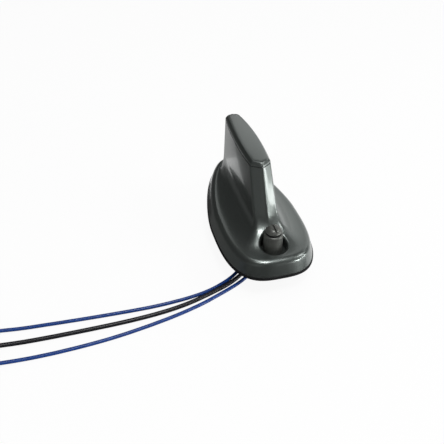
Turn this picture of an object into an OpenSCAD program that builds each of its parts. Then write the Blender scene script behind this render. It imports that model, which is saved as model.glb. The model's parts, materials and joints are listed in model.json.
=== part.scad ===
// Roof aerial with a blade fin, a mast socket and three leads.
// Units are millimetres and +Z is up.
// The origin is the stud's axis on the seal's underside.
// The mast socket's end of the base is at -Y.

/* [Base] */
// widest half width of the base
base_half = 33.8; // [28:0.1:42]
// where along the length the base is widest
base_mid = -9; // [-16:0.5:-2]
// from the widest place to the socket end
base_back = 60; // [57:0.5:68]
// from the widest place to the plain end
base_fore = 83.8; // [81:0.2:96]
// squareness of the socket end
back_power = 3.1; // [2.6:0.05:4]
// how evenly the base narrows toward the plain end
fore_ease = 0.5; // [0.4:0.05:0.8]
// roundness of the plain end's tip
fore_round = 2.12; // [1.7:0.02:2.6]
// height of the deck beside its rounded edge
deck_z = 13.6; // [13.2:0.1:15]
// radius of the deck's rounded edge
edge_r = 5; // [3.5:0.1:6]
// slope of the skirt below that edge, in degrees
skirt_slope = 18; // [8:1:20]
// thickness of the shell's wall
wall = 2.2; // [1.8:0.1:2.4]

/* [Fin] */
// height of the crease where the flare meets the fin's side
crease_z = 23; // [19:0.5:26]
// half width of the fin at the crease
fin_foot_half = 9.4; // [8.4:0.1:10.5]
// half width of the fin at the crease near the steep end
fin_foot_tip = 7.2; // [6.6:0.1:8.6]
// place of the sloping end's middle edge at the crease
fin_foot_back = -37; // [-38:0.2:-35]
// place of the fin's steep end at the crease
fin_foot_fore = 61; // [57:0.5:63]
// half width of the fin's top at the sloping end
fin_top_half = 7.8; // [7.2:0.1:8.4]
// half width of the fin's top at the steep end
fin_tip_half = 6.3; // [5.8:0.1:7]
// how far the fin's steep end bows outward
end_bow = 0.5; // [0.2:0.1:0.8]
// how far the sloping end's middle edge stands out at the crease
nose_foot = 0.9; // [0.5:0.1:1.8]
// how far the sloping end's middle edge stands out at the top
nose_top = 4.2; // [3:0.1:5]
// how far the fin's sides bow outward half way along
fin_bow = 1.8; // [0:0.1:2]
// place of the sloping end's middle edge at the top
fin_top_back = -18.2; // [-21:0.2:-14]
// place of the top's steep end
fin_top_fore = 60; // [55:0.2:61]
// height of the rim that carries the cap
rim_z = 57.6; // [54:0.2:64]
// how far the cap stands above the rim
cap_h = 3.2; // [2.6:0.1:4.2]
// how far the cap's top arches up half way along
cap_arch = 1.8; // [0:0.1:2]
// shut line under the cap
shut_gap = 0.45; // [0.3:0.05:0.6]
// steepness of the concave flare
flare_power = 2.2; // [1.8:0.1:2.8]

/* [Seal and plate] */
// thickness of the seal
seal_t = 2.6; // [2:0.1:3.2]
// how far the seal shows outside the shell
seal_lip = 0.5; // [0.2:0.1:0.9]
// thickness of the base plate
plate_t = 2; // [1.8:0.1:2.2]
// radius of the seal's round opening
opening_r = 14; // [13:0.2:15]

/* [Mast socket] */
// place of the socket's axis
socket_y = -47.6; // [-48.6:0.1:-46.8]
// place of the pocket's middle
pocket_y = -49.8; // [-50.2:0.1:-47.6]
// radius of the pocket in the deck
pocket_r = 9.5; // [9:0.1:10.2]
// height of the pocket's floor
pocket_z = 8; // [7.6:0.1:8.6]
// radius of the socket's barrel
barrel_r = 6.7; // [6:0.1:7.2]
// height of the barrel's top
barrel_z = 23.4; // [20:0.2:25]
// radius of the blanking screw's head
head_r = 5.8; // [5.2:0.1:6.2]
// height of the blanking screw's head
head_h = 3.6; // [3.2:0.1:4.6]
// thickness of the ring under the head
ring_t = 1.4; // [1:0.1:2.2]

/* [Stud and nut] */
// radius of the stud
stud_r = 4; // [3:0.1:4.2]
// length of the stud below the seal
stud_drop = 15; // [14:0.5:20]
// radius of the stud's plain pilot end
pilot_r = 3.1; // [2:0.1:3.4]
// length of the stud's thread below its nut
thread_spare = 0.4; // [0.2:0.1:1]
// width across the nut's corners
nut_w = 15; // [13:0.2:16]
// thickness of the nut
nut_t = 4; // [3:0.1:5]
// thickness of the claw washer
washer_t = 1.2; // [0.8:0.1:1.6]
// height of the washer's claws
claw_h = 1.4; // [1:0.1:2]
// gap between the seal and the claws for the roof panel
roof_gap = 4.4; // [4.2:0.1:5]

/* [Leads] */
// thickness of the two blue leads
blue_d = 2.5; // [2:0.1:2.6]
// thickness of the black lead
black_d = 3; // [2.6:0.1:3.2]
// distance between the leads in their grommet
lead_pitch = 4.4; // [4:0.1:4.6]
// width of a plug's housing
plug_w = 8.6; // [7.6:0.2:9.6]
// length of a plug's housing
plug_l = 18; // [15:0.5:22]

/* [Inside] */
// distance from the base's side to the shell's screws
screw_in = 9.6; // [9:0.1:11]
// place of the two screws beside the mast socket
screw_back = -40; // [-42:0.5:-38]
// place of the two middle screws
screw_mid = 12; // [8:0.5:16]
// place of the single screw at the plain end
screw_fore = 62; // [58:0.5:63]
// distance from the base's side to the main board
board_in = 14; // [13:0.5:16]
// height of the main board's underside
board_z = 7; // [6.6:0.1:7.2]
// thickness of the main board
board_t = 1.4; // [1:0.1:1.6]
// side of the square patch
patch_side = 15; // [12:0.5:15]
// play between fitted pieces
play = 0.1; // [0.05:0.05:0.2]

/* [Hidden] */
$fn = 64;
plate_top = seal_t + plate_t;
board_top = board_z + board_t;
shell_low = deck_z - edge_r * (1 - sin(skirt_slope));
deck_in = lean_at(shell_low) + edge_r * cos(skirt_slope);
plate_in = wall + lean_at(plate_top) + 0.25;
boss_r = 3.2;
screw_r = 1.4;
tube_r = pocket_r + 2;
grommet_y = -17.5;
washer_low = -roof_gap - claw_h - washer_t;
thread_low = washer_low - nut_t - thread_spare;
plug_x = -214;
blue_color = [0.05, 0.22, 0.62];
paint_color = [0.24, 0.27, 0.26];
half_list = [-90, -83, -76, -69, -62, -58, -54, -50, -46, -42, -36, -30, -24, -18,
  -12, -6, -2, 0, 12, 18, 24, 30, 36, 42, 48, 54, 60, 64, 68, 72, 76, 80, 85, 90];
last = len(half_list) - 1;
// stations run from the socket end by the right side and back by the left side
stations = concat(
  [for (a = half_list) [a, 1]],
  [for (i = [1 : last - 1]) [half_list[last - i], -1]]);
count = len(stations);
screw_x = base_half - screw_in;
screw_places = [[screw_x, screw_back], [-screw_x, screw_back], [screw_x, screw_mid],
  [-screw_x, screw_mid], [0, screw_fore]];
board_half = base_half - board_in;
can_gap = 3.5;
amplifier_w = board_half - 2.3 - can_gap;
filter_w = 2 * (board_half - 9.8);
board_places = [[board_half - 4, -28], [4 - board_half, -28], [board_half - 5, 26],
  [5 - board_half, 26]];

function mix(a, b, v) = a + (b - a) * v;

// a point of the base's outline, moved inward by d
function base_at(s, d) =
  let (fore = s[0] > 0, v = abs(sin(s[0])))
  [s[1] * (base_half - d) * pow(max(0, cos(s[0])), 2 / (fore ? fore_round : back_power)),
    base_mid + (fore ? (base_fore - d) * v * mix(v, 1, fore_ease)
      : (d - base_back) * pow(v, 2 / back_power))];

// a point of the fin's outline that goes with the same station
// the outline comes to a soft edge at the sloping end and is rounded at the other
function oblong_at(s, back, fore, half_b, half_f, rb, rf, bow, nose) =
  let (a = s[0])
  let (low = base_at([-42, 1], 0)[1], high = base_at([60, 1], 0)[1])
  let (y = base_at(s, 0)[1])
  let (k = (y - low) / (high - low))
  let (turn = atan(1.16 * nose / (half_b - rb / 2)))
  let (x1 = half_b - rb + rb * sin(turn), yc = back + nose + rb * cos(turn))
  a <= -62 ? let (t = (a + 90) / 28)
    [s[1] * x1 * t, back + nose * (sqrt(t * t + 0.0256) - 0.16) / 0.8527]
  : a < -42 ? let (t = turn + (90 - turn) * (a + 62) / 20)
    [s[1] * (half_b - rb + rb * sin(t)), yc - rb * cos(t)]
  : a <= 60 ? [s[1] * (half_b + (half_f - half_b) * k + bow * 4 * k * (1 - k)),
    yc + (fore - yc - rf) * k]
  : a < 80 ? let (t = (a - 60) * 4.5)
    [s[1] * (half_f - rf + rf * cos(t)), fore - rf + rf * sin(t)]
  : let (t = (90 - a) / 10)
    [s[1] * (half_f - rf) * t, fore + end_bow * (1 - t * t)];

// the fin's outline at a share of the way up from the crease to the rim, moved inward by d
function fin_at(s, v, d) =
  let (half = mix(fin_foot_half, fin_top_half, v), r = mix(3.4, 2.4, v))
  let (r_in = max(0.3, r - d * 0.9))
  let (nose = mix(nose_top, nose_foot, pow(max(0, 1 - v), 3)))
  oblong_at(s, mix(fin_foot_back, fin_top_back, v) + d * 1.25,
    mix(fin_foot_fore, fin_top_fore, v) - d, half - d,
    mix(fin_foot_tip, fin_tip_half, v) - d, r_in, max(0.4, mix(5.5, 5, v) - d),
    fin_bow * mix(0.65, 1, v), nose * (half - d - r_in / 2) / (half - r / 2));

function foot_at(s, d) = fin_at(s, 0, d);

function fin_point(s, z, d) =
  let (p = fin_at(s, (z - crease_z) / (rim_z - crease_z), d))
  [p[0], p[1], z];

// profile of the outer skin from the skirt to the crease as share, inset, height
function skin_point(s, inset, v, z, d) =
  let (b = base_at(s, d), f = foot_at(s, d))
  let (gap = norm(f - b))
  let (u = v > 0 ? inset + (gap - inset) * v : inset)
  let (p = b + (f - b) * u / gap)
  [p[0], p[1], z];

// how far the leaning skirt has come in at a height
function lean_at(z) = (z - seal_t) * tan(skirt_slope);

function flare_z(v, z0, z1) = z0 + 0.6 * v + (z1 - z0 - 0.6) * pow(v, flare_power);

shoulder_steps = [0.2, 0.4, 0.6, 0.8, 1];
flare_steps = [0.16, 0.32, 0.46, 0.58, 0.68, 0.77, 0.85, 0.92, 0.97, 1];
wall_steps = [0.04, 0.18, 0.4, 0.7, 1];

outer_rows = concat(
  [for (z = [seal_t, mix(seal_t, shell_low, 0.5), shell_low])
    [for (s = stations) skin_point(s, lean_at(z), 0, z, 0)]],
  [for (v = shoulder_steps)
    let (t = mix(skirt_slope, 90, v))
    [for (s = stations)
      skin_point(s, deck_in - edge_r * cos(t), 0, deck_z - edge_r * (1 - sin(t)), 0)]],
  [for (v = flare_steps)
    [for (s = stations) skin_point(s, deck_in, v, flare_z(v, deck_z, crease_z), 0)]],
  [for (v = wall_steps)
    [for (s = stations) fin_point(s, mix(crease_z, rim_z, v), 0)]]);

inner_rows = concat(
  [for (q = [[0, seal_t - 1], [0, seal_t], [lean_at(shell_low), shell_low]])
    [for (s = stations) skin_point(s, q[0], 0, q[1], wall)]],
  [for (t = [mix(skirt_slope, 90, 0.5), 90])
    [for (s = stations)
      skin_point(s, deck_in - wall - (edge_r - wall) * cos(t), 0,
        deck_z - edge_r + (edge_r - wall) * sin(t), wall)]],
  [for (v = [0.3, 0.55, 0.75, 0.9, 1])
    [for (s = stations)
      skin_point(s, deck_in - wall, v, flare_z(v, deck_z - wall, crease_z - 3), wall)]],
  [for (z = [mix(crease_z, rim_z, 0.18), mix(crease_z, rim_z, 0.5), rim_z + 1])
    [for (s = stations) fin_point(s, z, wall)]]);

// a closed solid through a stack of rings that all have the same number of points
module stack(rows) {
  n = len(rows[0]);
  m = len(rows);
  points = [for (r = rows) for (p = r) p];
  sides = [for (k = [0 : m - 2]) for (i = [0 : n - 1]) for (h = [0, 1])
    let (j = (i + 1) % n)
    h == 0 ? [k * n + i, (k + 1) * n + i, (k + 1) * n + j]
    : [k * n + i, (k + 1) * n + j, k * n + j]];
  polyhedron(points = points,
    faces = concat(end_faces(n, 0, true), sides, end_faces(n, (m - 1) * n, false)));
}

// an end is closed by strips from each station to the one that mirrors it
function end_faces(n, base, low) =
  let (half = floor(n / 2))
  [for (i = [0 : half - 1]) for (h = [0, 1])
    let (a = i, b = i + 1, c = n - i - 1, d = (n - i) % n)
    let (f = h == 0 ? [a, b, c] : [a, c, d])
    if (f[0] != f[1] && f[1] != f[2] && f[0] != f[2])
      low ? [for (q = f) base + q] : [for (q = [f[2], f[1], f[0]]) base + q]];

module base_sheet(d) {
  polygon([for (s = stations) base_at(s, d)]);
}

module outer_shell() {
  color(paint_color)
  difference() {
    stack(outer_rows);
    difference() {
      stack(inner_rows);
      translate([0, pocket_y, plate_top + 1.4]) cylinder(h = 30, r = tube_r);
      for (p = screw_places)
        translate([p[0], p[1], plate_top]) cylinder(h = 30, r = boss_r);
    }
    pocket_cut();
    for (p = screw_places)
      translate([p[0], p[1], 0]) cylinder(h = 11, r = screw_r + play);
  }
}

// the pocket round the mast socket, and a small hole for the insert's foot
module pocket_cut() {
  translate([0, pocket_y, pocket_z]) cylinder(h = 34 - pocket_z, r = pocket_r);
  translate([0, socket_y, plate_top]) cylinder(h = 8, r = 2.2);
}

module fin_cap() {
  color(paint_color)
  stack([for (q = [[wall + 0.3, -2.4, 0], [wall + 0.3, 0, 0], [0.8, 0, 0], [0.8, shut_gap, 0],
      [0, shut_gap, 0], [0, cap_h - 2, 0.4], [0.12, cap_h - 1.35, 0.7], [0.5, cap_h - 0.75, 0.9],
      [1.1, cap_h - 0.35, 1], [2.2, cap_h - 0.1, 1], [4.4, cap_h, 1]])
    [for (s = stations)
      let (p = fin_point(s, rim_z + q[1], q[0]))
      let (k = (p[1] - fin_top_back) / (fin_top_fore - fin_top_back))
      [p[0], p[1], p[2] + q[2] * cap_arch * 4 * k * (1 - k)]]]);
}

module gasket() {
  color([0.04, 0.04, 0.045])
  linear_extrude(height = seal_t)
  difference() {
    base_sheet(-seal_lip);
    circle(r = opening_r);
    translate([-10, grommet_y - 5.5]) square([20, 16]);
  }
}

module base_plate() {
  color([0.62, 0.63, 0.64]) {
    difference() {
      translate([0, 0, seal_t]) linear_extrude(height = plate_t) base_sheet(plate_in);
      translate([0, 0, -1]) cylinder(h = 20, r = stud_r + play);
      translate([-8, grommet_y - 3.5, -1]) cube([16, 7, 20]);
      for (p = screw_places) {
        translate([p[0], p[1], -1]) cylinder(h = 20, r = screw_r + play);
        translate([p[0], p[1], -1]) cylinder(h = seal_t + 2.1, r = 2.8);
      }
    }
    for (p = board_places)
      difference() {
        translate([p[0], p[1], plate_top - 0.5]) cylinder(h = board_z - plate_top + 0.5, r = 2.6);
        translate([p[0], p[1], plate_top + 0.1]) cylinder(h = 9, r = 1.2 + play);
      }
    difference() {
      translate([0, 0, 0.6]) cylinder(h = seal_t, r = 8.5);
      translate([0, 0, -1]) cylinder(h = 20, r = stud_r + play);
    }
  }
}

module clamp_stud() {
  color([0.72, 0.72, 0.7]) {
    translate([0, 0, thread_low]) cylinder(h = plate_top + 0.5 - thread_low, r = stud_r);
    translate([0, 0, -stud_drop]) cylinder(h = stud_drop + thread_low + 0.5, r = pilot_r);
    translate([0, 0, plate_top]) cylinder(h = 1.5, r = stud_r + 2.6);
  }
}

module claw_washer() {
  color([0.66, 0.64, 0.58])
  translate([0, 0, washer_low]) {
    difference() {
      cylinder(h = washer_t, r = stud_r + 5.4);
      translate([0, 0, -1]) cylinder(h = washer_t + 2, r = stud_r + 3 * play);
    }
    for (a = [45 : 90 : 315])
      rotate(a) translate([stud_r + 2.6, -1.6, washer_t - 0.2])
        cube([2, 3.2, claw_h + 0.2]);
  }
}

module clamp_nut() {
  color([0.7, 0.7, 0.68])
  translate([0, 0, washer_low - nut_t])
  difference() {
    cylinder(h = nut_t, r = nut_w / 2, $fn = 6);
    translate([0, 0, -1]) cylinder(h = nut_t + 2, r = stud_r + play / 2);
  }
}

module lead_grommet() {
  color([0.05, 0.05, 0.05]) {
    translate([-8 + play, grommet_y - 3.5 + play, -1])
      cube([16 - 2 * play, 7 - 2 * play, plate_top + 1.5]);
    translate([-9.2, grommet_y - 4.7, plate_top]) cube([18.4, 9.4, 1]);
  }
}

module feed_pins() {
  color([0.8, 0.68, 0.3])
  for (x = [-1, 0, 1])
    translate([x * lead_pitch, grommet_y, plate_top + 1])
      cylinder(h = board_top - plate_top + 0.2, r = 0.6);
}

module main_board() {
  color([0.05, 0.3, 0.14])
  translate([0, 0, board_z])
  difference() {
    linear_extrude(height = board_t)
      polygon([[1 - board_half, -33], [board_half - 1, -33], [board_half, -14],
        [board_half, 24], [board_half - 11, 50], [11 - board_half, 50],
        [-board_half, 24], [-board_half, -14]]);
    for (x = [-1, 0, 1])
      translate([x * lead_pitch, grommet_y, -1]) cylinder(h = 5, r = 0.6 + play);
    for (p = board_places)
      translate([p[0], p[1], -1]) cylinder(h = 5, r = 1.2 + play);
    translate([12, -3, -1]) cylinder(h = 5, r = 0.5 + play);
  }
}

module patch_element() {
  color([0.84, 0.8, 0.7])
  difference() {
    translate([12 - patch_side / 2, -3 - patch_side / 2, board_top])
      cube([patch_side, patch_side, 3]);
    translate([12, -3, 0]) cylinder(h = 20, r = 0.5 + play);
  }
}

module patch_pin() {
  color([0.85, 0.85, 0.82]) {
    translate([12, -3, board_z - 0.4]) cylinder(h = board_t + 3.4, r = 0.5);
    translate([12, -3, board_top + 3]) cylinder(h = 0.4, r = 1.1);
  }
}

module fin_board() {
  color([0.06, 0.34, 0.17])
  rotate([90, 0, 90])
  translate([0, 0, -0.6])
  linear_extrude(height = 1.2)
    polygon([[8, board_top], [46, board_top], [50, rim_z - 7], [47, rim_z - 4],
      [-2, rim_z - 4], [-5, rim_z - 7]]);
}

// a folded conductor laid on the fin's board
module fin_element() {
  color([0.78, 0.5, 0.28])
  rotate([90, 0, 90])
  translate([0, 0, 0.6])
  linear_extrude(height = 0.3)
  union() {
    translate([0, rim_z - 13]) square([43, 4]);
    translate([39, rim_z - 31]) square([4, 19]);
    translate([10, rim_z - 31]) square([30, 3]);
    translate([10, board_top + 3]) square([3, rim_z - board_top - 32]);
  }
}

module shield_can(x, y, w, l, h) {
  translate([x - w / 2, y - l / 2, board_top])
  difference() {
    cube([w, l, h]);
    translate([0.3, 0.3, -1]) cube([w - 0.6, l - 0.6, h + 0.7]);
  }
}

module amplifier_can() {
  color([0.76, 0.77, 0.78]) shield_can(-can_gap - amplifier_w / 2, 6, amplifier_w, 18, 3);
}

module filter_can() {
  color([0.76, 0.77, 0.78]) shield_can(0, -27, filter_w, 8, 2.6);
}

module board_screws() {
  color([0.7, 0.7, 0.72])
  for (p = board_places)
    translate([p[0], p[1], 0]) {
      translate([0, 0, board_top]) cylinder(h = 1.3, r = 2.2);
      translate([0, 0, plate_top + 0.2]) cylinder(h = board_top - plate_top, r = 1.2);
    }
}

module shell_screws() {
  color([0.3, 0.3, 0.32])
  for (p = screw_places)
    translate([p[0], p[1], seal_t]) {
      cylinder(h = 1, r = 2.6);
      cylinder(h = 8, r = screw_r);
    }
}

module socket_barrel() {
  color([0.12, 0.11, 0.1])
  translate([0, socket_y, 0])
  rotate_extrude()
    polygon([[3.9 + play, pocket_z], [barrel_r, pocket_z], [barrel_r, barrel_z - 1],
      [barrel_r - 0.3, barrel_z - 0.5], [barrel_r - 0.9, barrel_z],
      [3.9 + play, barrel_z]]);
}

module socket_insert() {
  color([0.74, 0.6, 0.28])
  translate([0, socket_y, 0])
  rotate_extrude()
    polygon([[0, plate_top + 1], [2.2 - play, plate_top + 1], [2.2 - play, pocket_z],
      [3.9, pocket_z], [3.9, barrel_z - 0.4], [2.5, barrel_z - 0.4], [2.5, 11],
      [0, 11]]);
}

module socket_ring() {
  color([0.05, 0.05, 0.05])
  translate([0, socket_y, barrel_z])
  rotate_extrude()
    polygon([[2.6, 0], [head_r - 0.7, 0], [head_r - 0.3, ring_t / 2],
      [head_r - 0.7, ring_t], [2.6, ring_t]]);
}

module socket_head() {
  color([0.15, 0.14, 0.13])
  translate([0, socket_y, barrel_z + ring_t])
  difference() {
    rotate_extrude()
      polygon([[0, -7], [2.5 - play, -7], [2.5 - play, 0], [head_r - 0.3, 0],
        [head_r, 0.3], [head_r, 0.9], [head_r - 0.4, 1.5], [head_r - 0.9, head_h - 1.4],
        [head_r - 1.6, head_h - 0.6], [head_r - 2.6, head_h - 0.1], [head_r - 3.4, head_h],
        [0, head_h]]);
    rotate(90) translate([-8, -0.65, head_h - 1.5]) cube([16, 1.3, 4]);
  }
}

module contact_strip() {
  color([0.8, 0.7, 0.4]) {
    translate([-2, socket_y - 2.4, plate_top + 0.6]) cube([4, 17, 0.4]);
    translate([-2, socket_y + 14.2, plate_top + 0.6]) cube([4, 0.4, board_z - plate_top - 0.6]);
  }
}

// three routes by hand; each starts under the grommet and ends at its ferrule
route_a = [[-4.4, -17.5, 14], [-4.4, -17.5, 10.5], [-5.2, -18.5, 6.8], [-7.2, -21, 3.4],
  [-10.4, -25.2, 1.5], [-14.4, -30.8, 1.25], [-19, -36.6, 1.25], [-24.6, -42, 1.25],
  [-31, -46.6, 1.25], [-39, -50.8, 1.25], [-49, -54.6, 1.25], [-61, -57.2, 1.25], [-74, -58.7, 1.25],
  [-87, -59.5, 1.25], [-99, -59.6, 1.25], [-111, -59.4, 1.25], [-126, -59, 1.25],
  [-142, -58.4, 1.25], [-159, -57.6, 1.25], [-174, -57, 1.5], [-187, -56.4, 2.4],
  [-198, -56.1, 3.5], [-207, -56, 4.2], [-214, -56, 4.3]];
route_b = [[0, -17.5, 14], [0, -17.5, 10.5], [-0.8, -18.6, 6.9], [-3.2, -21.6, 3.6],
  [-6.6, -26.6, 1.8], [-10.6, -32.6, 1.5], [-15.4, -38.6, 1.5],
  [-21, -44, 1.5], [-27.4, -48.6, 1.5], [-35, -52.6, 1.5], [-44, -56.1, 1.5], [-53, -59.3, 1.5], [-63, -62.4, 1.5],
  [-74, -64.9, 1.5], [-86, -66.7, 1.5], [-99, -67.9, 1.5], [-112, -68.6, 1.5],
  [-128, -69, 1.5], [-144, -69.2, 1.5], [-160, -69.2, 1.5], [-175, -69.1, 1.8],
  [-188, -69, 2.7], [-199, -69, 3.7], [-207, -69, 4.2], [-214, -69, 4.3]];
route_c = [[4.4, -17.5, 14], [4.4, -17.5, 10.5], [3.6, -18.8, 6.8], [1, -22.6, 3.4],
  [-2.6, -28.2, 1.5], [-6.8, -35, 1.25], [-12, -41.8, 1.25], [-18, -47.4, 1.25],
  [-25, -52, 1.25], [-33.4, -56.2, 1.25], [-43, -60.4, 1.25], [-53, -64.5, 1.25], [-62, -67.6, 1.25],
  [-74, -71.1, 1.25], [-88, -74.4, 1.25], [-101, -77, 1.25], [-114, -79.2, 1.25],
  [-129, -81, 1.25], [-145, -82.2, 1.25], [-160, -82.8, 1.25], [-175, -82.9, 1.5],
  [-188, -82.9, 2.4], [-199, -82.8, 3.5], [-207, -82.8, 4.2], [-214, -82.8, 4.3]];

function plan_dir(p, i) =
  let (m = len(p) - 1)
  let (d = p[min(m, i + 1)] - p[max(0, i - 1)])
  let (h = [d[0], d[1], 0])
  norm(h) > 0.5 ? h / norm(h) : plan_dir(p, i + 1);

function way(p, i) =
  let (m = len(p) - 1)
  i == 0 ? [0, 0, -1]
  : i == m ? [-1, 0, 0]
  : let (a = (p[i] - p[i - 1]) / norm(p[i] - p[i - 1]))
    let (b = (p[i + 1] - p[i]) / norm(p[i + 1] - p[i]))
    (a + b) / norm(a + b);

// an eight sided cord swept along a route
module cord(route, d) {
  p = [for (q = route) [q[0], q[1], q[2] - stud_drop]];
  rings = [for (i = [0 : len(p) - 1])
    let (t = way(p, i), h = i == len(p) - 1 ? [-1, 0, 0] : plan_dir(p, i))
    let (side = cross([0, 0, 1], h))
    let (over = cross(t, side))
    [for (k = [0 : 7])
      let (a = 22.5 + 45 * k)
      p[i] + (side * cos(a) + over * sin(a)) * d / 2]];
  stack(rings);
}

module lead_blue_a() {
  color(blue_color) cord(route_a, blue_d);
}

module lead_black() {
  color([0.04, 0.04, 0.05]) cord(route_b, black_d);
}

module lead_blue_b() {
  color(blue_color) cord(route_c, blue_d);
}

module ferrule(route) {
  e = route[len(route) - 1];
  color([0.75, 0.68, 0.45])
  translate([e[0] - 6, e[1], e[2] - stud_drop]) rotate([0, 90, 0]) cylinder(h = 6, r = 2.2);
}

module housing(route, tint) {
  e = route[len(route) - 1];
  color(tint)
  translate([e[0] - 6, e[1], e[2] - stud_drop])
  difference() {
    translate([-plug_l, -plug_w / 2, -plug_w / 2]) cube([plug_l, plug_w, plug_w]);
    translate([-plug_l - 1, 0, 0]) rotate([0, 90, 0]) cylinder(h = plug_l - 3, r = 3.3);
  }
}

module barrel_piece(route) {
  e = route[len(route) - 1];
  color([0.8, 0.68, 0.36])
  translate([e[0] - 6 - 4, e[1], e[2] - stud_drop])
  rotate([0, -90, 0])
  rotate_extrude()
    polygon([[0, 0], [2.8, 0], [2.8, plug_l - 5], [2.1, plug_l - 5], [2.1, 2],
      [0.5, 2], [0.5, plug_l - 6], [0, plug_l - 6]]);
}

module ferrule_a() {
  ferrule(route_a);
}

module ferrule_b() {
  ferrule(route_b);
}

module ferrule_c() {
  ferrule(route_c);
}

module plug_housing_a() {
  housing(route_a, blue_color);
}

module plug_housing_b() {
  housing(route_b, [0.06, 0.06, 0.06]);
}

module plug_housing_c() {
  housing(route_c, [0.7, 0.68, 0.6]);
}

module plug_barrel_a() {
  barrel_piece(route_a);
}

module plug_barrel_b() {
  barrel_piece(route_b);
}

module plug_barrel_c() {
  barrel_piece(route_c);
}

outer_shell();
fin_cap();
gasket();
base_plate();
clamp_stud();
claw_washer();
clamp_nut();
lead_grommet();
feed_pins();
main_board();
patch_element();
patch_pin();
fin_board();
fin_element();
amplifier_can();
filter_can();
board_screws();
shell_screws();
socket_barrel();
socket_insert();
socket_ring();
socket_head();
contact_strip();
lead_blue_a();
lead_black();
lead_blue_b();
ferrule_a();
ferrule_b();
ferrule_c();
plug_housing_a();
plug_housing_b();
plug_housing_c();
plug_barrel_a();
plug_barrel_b();
plug_barrel_c();
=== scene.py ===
import json
import math

import bpy
from mathutils import Matrix, Vector
from mathutils.geometry import interpolate_bezier


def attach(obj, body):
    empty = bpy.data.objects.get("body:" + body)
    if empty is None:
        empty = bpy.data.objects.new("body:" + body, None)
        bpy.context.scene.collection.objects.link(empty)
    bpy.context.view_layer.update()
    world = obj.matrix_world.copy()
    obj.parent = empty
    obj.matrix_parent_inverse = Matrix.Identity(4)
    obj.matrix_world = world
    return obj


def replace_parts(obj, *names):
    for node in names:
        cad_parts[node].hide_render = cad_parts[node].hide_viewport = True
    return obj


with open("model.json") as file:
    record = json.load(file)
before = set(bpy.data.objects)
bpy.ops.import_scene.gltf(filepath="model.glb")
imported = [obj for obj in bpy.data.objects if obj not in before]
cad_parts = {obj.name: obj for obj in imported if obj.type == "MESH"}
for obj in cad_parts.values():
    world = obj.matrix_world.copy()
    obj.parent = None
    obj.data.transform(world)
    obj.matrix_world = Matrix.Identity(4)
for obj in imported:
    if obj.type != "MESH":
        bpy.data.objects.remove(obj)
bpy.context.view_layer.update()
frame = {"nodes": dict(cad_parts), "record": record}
print("frame loaded:", len(frame["nodes"]), "nodes")

mm = 0.001
floorHeight = -15 * mm
seam = 0.001 * mm
sliver = 0.002 * mm

cameraView = {
    "azimuth": -15.406,
    "elevation": 38.263,
    "roll": 0.4755,
    "distance": 0.39773,
    "target": (-0.030055, -0.022835, 0.02),
    "lens": 45.164,
}


def placeCamera(view):
    turn, rise, roll = (math.radians(view[k]) for k in ("azimuth", "elevation", "roll"))
    back = Vector((math.sin(turn) * math.cos(rise), -math.cos(turn) * math.cos(rise), math.sin(rise)))
    side = Vector((math.cos(turn), math.sin(turn), 0))
    over = back.cross(side)
    right = side * math.cos(roll) + over * math.sin(roll)
    up = over * math.cos(roll) - side * math.sin(roll)
    place = Vector(view["target"]) + back * view["distance"]
    bpy.ops.object.camera_add()
    camera = bpy.context.object
    camera.name = "camera"
    camera.matrix_world = Matrix((
        (right.x, up.x, back.x, place.x),
        (right.y, up.y, back.y, place.y),
        (right.z, up.z, back.z, place.z),
        (0, 0, 0, 1),
    ))
    camera.data.lens = view["lens"]
    camera.data.clip_start = 0.01
    camera.data.clip_end = 50
    bpy.context.scene.camera = camera


placeCamera(cameraView)
bpy.context.scene.view_settings.view_transform = "Standard"


def clearSelection():
    if bpy.context.object and bpy.context.object.mode != "OBJECT":
        bpy.ops.object.mode_set(mode="OBJECT")
    bpy.ops.object.select_all(action="DESELECT")


def makeActive(piece):
    clearSelection()
    bpy.context.view_layer.objects.active = piece
    piece.select_set(True)


def startEdit(piece, kind="FACE"):
    makeActive(piece)
    bpy.ops.object.mode_set(mode="EDIT")
    bpy.ops.mesh.select_mode(type=kind)
    bpy.ops.mesh.select_all(action="DESELECT")


def endEdit():
    bpy.ops.object.mode_set(mode="OBJECT")


def closeSlivers(piece):
    # a cut leaves slivers, which are closed up once every face is a triangle
    startEdit(piece)
    bpy.ops.mesh.select_all(action="SELECT")
    bpy.ops.mesh.remove_doubles(threshold=sliver)
    bpy.ops.mesh.dissolve_degenerate(threshold=sliver)
    bpy.ops.mesh.quads_convert_to_tris(quad_method="BEAUTY", ngon_method="BEAUTY")
    bpy.ops.mesh.dissolve_degenerate(threshold=sliver)
    bpy.ops.mesh.remove_doubles(threshold=sliver)
    endEdit()


def smooth(piece, angle):
    closeSlivers(piece)
    makeActive(piece)
    bpy.ops.object.shade_smooth_by_angle(angle=math.radians(angle))


def applyModifier(piece, kind, **settings):
    makeActive(piece)
    modifier = piece.modifiers.new(kind.lower(), kind)
    for key, value in settings.items():
        setattr(modifier, key, value)
    bpy.ops.object.modifier_apply(modifier=modifier.name)


def cutWith(piece, cutter, operation="DIFFERENCE"):
    applyModifier(piece, "BOOLEAN", object=cutter, operation=operation, solver="EXACT")
    makeActive(cutter)
    bpy.ops.object.delete()


def settle(piece, name):
    # the finished piece sits at the origin with its place in its mesh
    makeActive(piece)
    bpy.ops.object.transform_apply(location=True, rotation=True, scale=True)
    piece.name = name
    piece.data.name = name
    return piece


def addRod(radius, low, high, x=0, y=0, sides=64):
    clearSelection()
    bpy.ops.mesh.primitive_cylinder_add(vertices=sides, radius=radius * mm, depth=(high - low) * mm,
                                        location=(x * mm, y * mm, (low + high) / 2 * mm))
    rod = bpy.context.object
    makeActive(rod)
    bpy.ops.object.transform_apply(location=True, rotation=False, scale=False)
    return rod


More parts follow.
